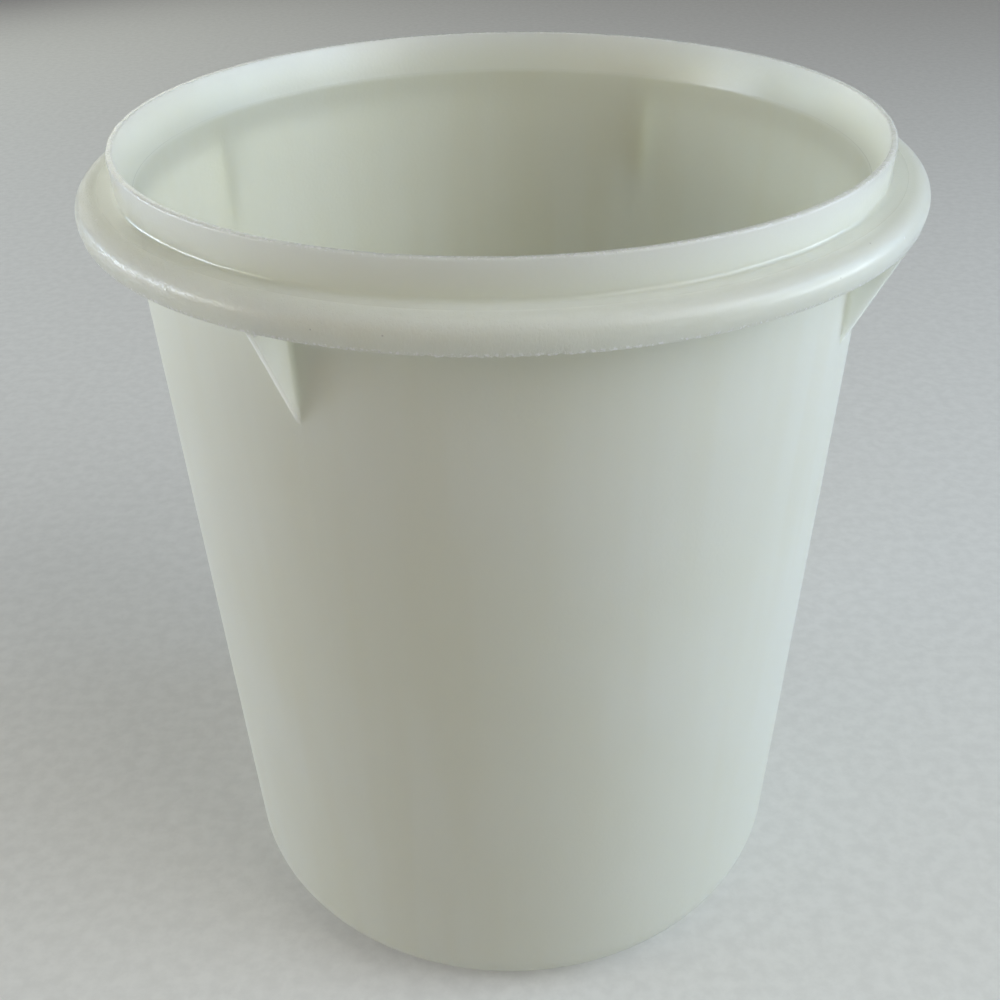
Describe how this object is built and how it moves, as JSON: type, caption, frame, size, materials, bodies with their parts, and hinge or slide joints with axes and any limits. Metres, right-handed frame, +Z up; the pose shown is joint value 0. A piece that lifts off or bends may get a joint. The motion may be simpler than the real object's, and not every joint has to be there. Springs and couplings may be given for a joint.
{
  "type": "storage canister",
  "caption": "Round tapered food canister of milky plastic with an upright lip, a rolled flange and thin gussets, open at the top, with its press-on lid lying behind it.",
  "frame": {"origin": "middle of the canister's base, on the surface it stands on", "axes": "+Z up along the canister's axis, -Y the side seen in the picture, +X to the right in the picture; the lid lies behind, at +Y"},
  "size_m": [0.2222, 0.4441, 0.245],
  "materials": {
    "canister_plastic": "milky translucent polyethylene, satin, scuffed on the flange",
    "lid_plastic": "milky translucent polyethylene, satin"
  },
  "bodies": {
    "canister": {"canister_body": "canister_plastic"},
    "lid": {"press_on_lid": "lid_plastic"}
  },
  "joints": [
    {"name": "lid_lift", "type": "slide", "parent": "canister", "child": "lid", "axis": [0, 0, 1], "range_m": [0, 0.28]}
  ]
}
